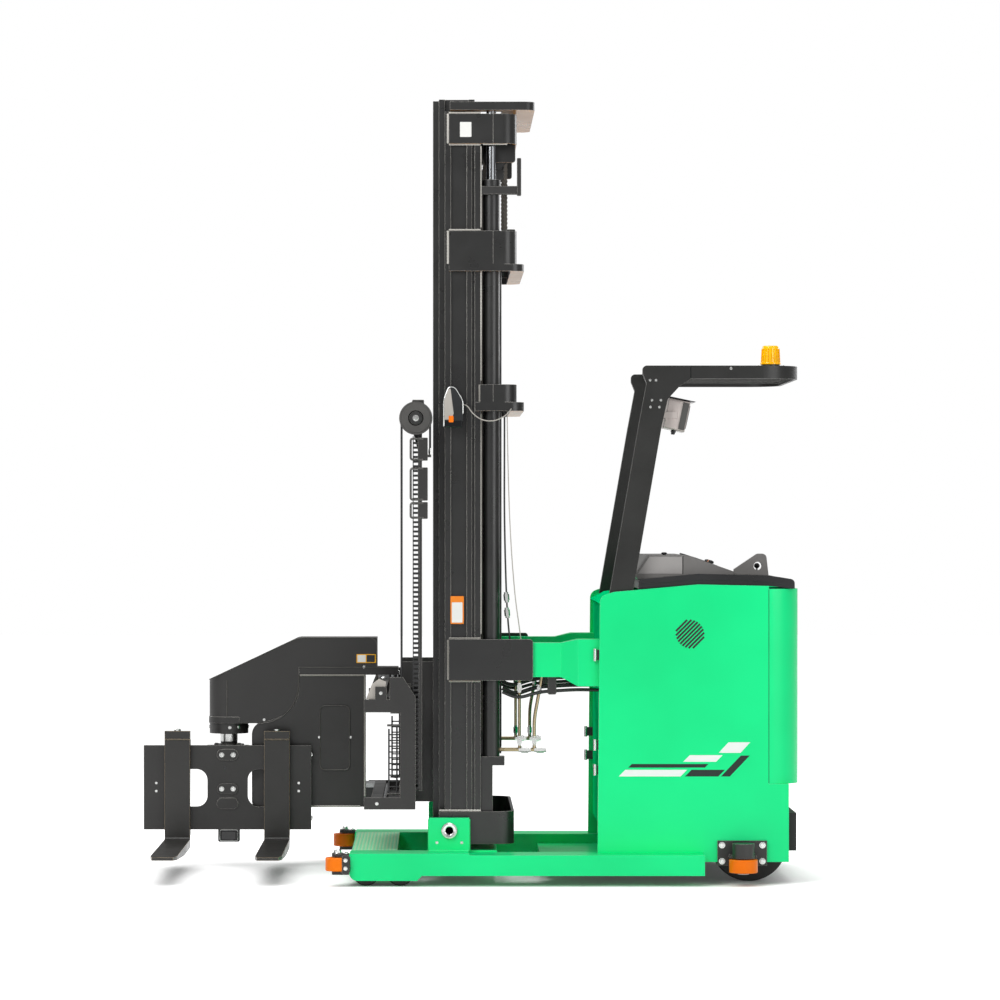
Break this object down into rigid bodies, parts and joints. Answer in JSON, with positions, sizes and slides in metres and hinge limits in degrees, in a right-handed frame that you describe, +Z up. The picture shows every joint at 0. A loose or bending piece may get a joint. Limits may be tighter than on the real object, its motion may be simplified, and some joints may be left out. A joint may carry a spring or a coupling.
{
  "type": "turret truck",
  "caption": "Very narrow aisle turret truck with a telescopic mast, a traversing head that turns the forks, and an operator's compartment under an overhead guard.",
  "frame": {"origin": "on the floor under the middle of the box, halfway between the fork plate's end and the roof's rear edge and midway between the guide rollers", "axes": "+Z up, the forks' end at -X and the operator's end at +X, the forks pointing to -Y at rest"},
  "size_m": [3.023, 1.56, 3.548],
  "materials": {
    "green_paint": "gloss",
    "black_paint": "satin",
    "mast_paint": "satin",
    "bright_steel": "satin",
    "rod_chrome": "polished",
    "cast_black": "satin",
    "wheel_tyre": "matte",
    "drive_tread": "matte",
    "orange_roller": "satin",
    "black_plastic": "matte",
    "grey_plastic": "satin",
    "soft_pad": "matte",
    "amber_lens": "gloss",
    "battery_case": "satin",
    "hose_rubber": "satin"
  },
  "bodies": {
    "chassis": {"base_frame": "green_paint", "deck_plate": "green_paint", "load_axles": "bright_steel", "foot_pins": "bright_steel", "outer_uprights": "mast_paint", "outer_bands": "mast_paint", "cylinder_posts": "mast_paint", "lift_cylinders": "mast_paint", "tie_arms": "green_paint", "side_panels": "green_paint", "body_walls": "green_paint", "rear_corners": "green_paint", "body_floor": "black_paint", "battery_pack": "battery_case", "rear_bumper": "soft_pad", "well_pads": "soft_pad", "top_cover": "black_plastic", "console": "grey_plastic", "hand_guard": "black_plastic", "guard_frame": "black_paint", "roof_bars": "black_paint", "beacon_base": "black_plastic", "beacon_lens": "amber_lens", "display_unit": "grey_plastic", "mast_lamp": "grey_plastic", "guide_jaws": "black_paint", "guide_hangers": "black_paint"},
    "drive_unit": {"drive_yoke": "cast_black"},
    "drive_wheel": {"drive_tyre": "drive_tread", "drive_hub": "cast_black"},
    "caster": {"caster_fork": "cast_black"},
    "caster_pair": {"caster_wheels": "drive_tread"},
    "middle_mast": {"middle_stage": "mast_paint", "lift_rods": "rod_chrome"},
    "inner_mast": {"inner_stage": "mast_paint", "free_lift_barrel": "mast_paint"},
    "ram": {"free_lift_ram": "bright_steel", "lift_chains": "bright_steel"},
    "carriage": {"traverse_frame": "black_paint", "traverse_rack": "bright_steel", "chain_post": "black_paint", "energy_chain": "black_plastic", "carriage_hose": "hose_rubber"},
    "pulley": {"hose_pulley": "black_plastic"},
    "head": {"head_column": "black_paint", "head_cover": "black_paint", "pivot_housing": "bright_steel", "head_bearings": "bright_steel"},
    "turret": {"swivel_hub": "black_paint", "fork_plate": "black_paint"},
    "outer_fork": {"fork_outer": "black_paint"},
    "inner_fork": {"fork_inner": "black_paint"},
    "load_near_front": {"load_wheel_near_front": "wheel_tyre"},
    "guide_near_front": {"guide_roller_near_front": "orange_roller"},
    "load_near_rear": {"load_wheel_near_rear": "wheel_tyre"},
    "guide_near_rear": {"guide_roller_near_rear": "orange_roller"},
    "load_far_front": {"load_wheel_far_front": "wheel_tyre"},
    "guide_far_front": {"guide_roller_far_front": "orange_roller"},
    "load_far_rear": {"load_wheel_far_rear": "wheel_tyre"},
    "guide_far_rear": {"guide_roller_far_rear": "orange_roller"}
  },
  "joints": [
    {"name": "load_near_front_spin", "type": "hinge", "parent": "chassis", "child": "load_near_front", "pos_m": [-0.4415, -0.65, 0.063], "axis": [0, 1, 0], "continuous": true},
    {"name": "guide_near_front_spin", "type": "hinge", "parent": "chassis", "child": "guide_near_front", "pos_m": [-0.5685, -0.725, 0.1], "axis": [0, 0, 1], "continuous": true},
    {"name": "load_near_rear_spin", "type": "hinge", "parent": "chassis", "child": "load_near_rear", "pos_m": [-0.2895, -0.65, 0.063], "axis": [0, 1, 0], "continuous": true},
    {"name": "guide_near_rear_spin", "type": "hinge", "parent": "chassis", "child": "guide_near_rear", "pos_m": [1.2485, -0.716, 0.09], "axis": [0, 0, 1], "continuous": true},
    {"name": "load_far_front_spin", "type": "hinge", "parent": "chassis", "child": "load_far_front", "pos_m": [-0.4415, 0.65, 0.063], "axis": [0, 1, 0], "continuous": true},
    {"name": "guide_far_front_spin", "type": "hinge", "parent": "chassis", "child": "guide_far_front", "pos_m": [-0.5685, 0.725, 0.1], "axis": [0, 0, 1], "continuous": true},
    {"name": "load_far_rear_spin", "type": "hinge", "parent": "chassis", "child": "load_far_rear", "pos_m": [-0.2895, 0.65, 0.063], "axis": [0, 1, 0], "continuous": true},
    {"name": "guide_far_rear_spin", "type": "hinge", "parent": "chassis", "child": "guide_far_rear", "pos_m": [1.2485, 0.716, 0.09], "axis": [0, 0, 1], "continuous": true},
    {"name": "steering", "type": "hinge", "parent": "chassis", "child": "drive_unit", "pos_m": [1.2925, -0.39, 0.175], "axis": [0, 0, 1], "range_deg": [-90, 90]},
    {"name": "drive_spin", "type": "hinge", "parent": "drive_unit", "child": "drive_wheel", "pos_m": [1.2925, -0.39, 0.175], "axis": [0, 1, 0], "continuous": true},
    {"name": "caster_swivel", "type": "hinge", "parent": "chassis", "child": "caster", "pos_m": [1.2715, 0.4, 0.176], "axis": [0, 0, 1], "continuous": true},
    {"name": "caster_roll", "type": "hinge", "parent": "caster", "child": "caster_pair", "pos_m": [1.3055, 0.4, 0.062], "axis": [0, 1, 0], "continuous": true},
    {"name": "middle_lift", "type": "slide", "parent": "chassis", "child": "middle_mast", "axis": [0, 0, 1], "range_m": [0, 2.3]},
    {"name": "inner_lift", "type": "slide", "parent": "middle_mast", "child": "inner_mast", "axis": [0, 0, 1], "range_m": [0, 2.3]},
    {"name": "carriage_lift", "type": "slide", "parent": "inner_mast", "child": "carriage", "axis": [0, 0, 1], "range_m": [0, 1.45]},
    {"name": "ram_lift", "type": "slide", "parent": "inner_mast", "child": "ram", "axis": [0, 0, 1], "range_m": [0, 0.725]},
    {"name": "pulley_spin", "type": "hinge", "parent": "carriage", "child": "pulley", "pos_m": [-0.2195, -0.59, 2.099], "axis": [0, 1, 0], "continuous": true},
    {"name": "head_traverse", "type": "slide", "parent": "carriage", "child": "head", "axis": [0, -1, 0], "range_m": [0, 0.98]},
    {"name": "turret_turn", "type": "hinge", "parent": "head", "child": "turret", "pos_m": [-1.1155, 0.49, 0.176], "axis": [0, 0, -1], "range_deg": [0, 180]},
    {"name": "outer_fork_slide", "type": "slide", "parent": "turret", "child": "outer_fork", "axis": [-1, 0, 0], "range_m": [-0.06, 0.08]},
    {"name": "inner_fork_slide", "type": "slide", "parent": "turret", "child": "inner_fork", "axis": [1, 0, 0], "range_m": [-0.06, 0.08]}
  ],
  "couplings": [
    {"joint": "inner_lift", "follows": "middle_lift", "ratio": 1},
    {"joint": "ram_lift", "follows": "carriage_lift", "ratio": 0.5}
  ]
}
